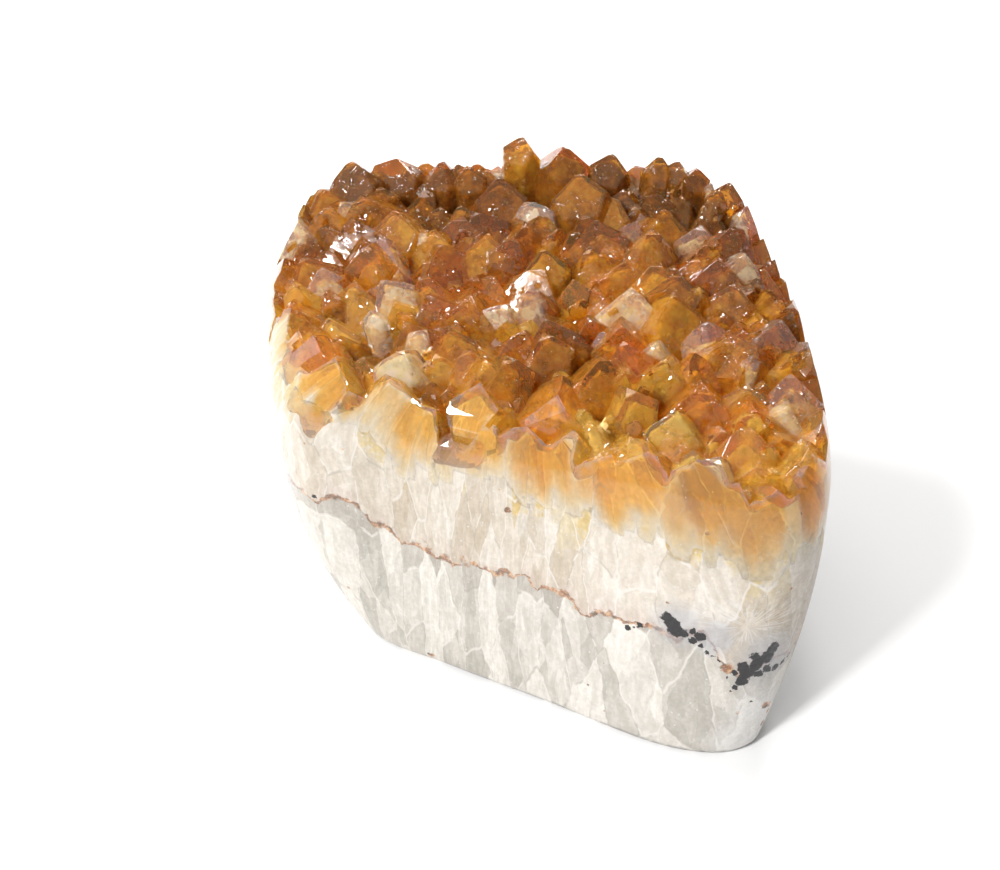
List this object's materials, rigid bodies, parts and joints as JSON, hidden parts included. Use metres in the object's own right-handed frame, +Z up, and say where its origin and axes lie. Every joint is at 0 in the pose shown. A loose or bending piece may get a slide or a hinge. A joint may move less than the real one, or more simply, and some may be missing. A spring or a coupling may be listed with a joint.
{
  "type": "citrine cluster",
  "caption": "Druse of blunt amber quartz points on a milky quartz bed, polished round its flared sides and sawn flat underneath.",
  "frame": {"origin": "middle of the stone's plan outline, on its sawn base", "axes": "+Z up through the crust of points, -Y towards the broad polished front, +X to its right"},
  "size_m": [0.143, 0.1461, 0.0962],
  "materials": {
    "citrine": "clear to cloudy amber quartz points over milky white quartz, natural faces on top and polished on the sides"
  },
  "bodies": {
    "root": {"citrine_cluster": "citrine"}
  },
  "joints": []
}
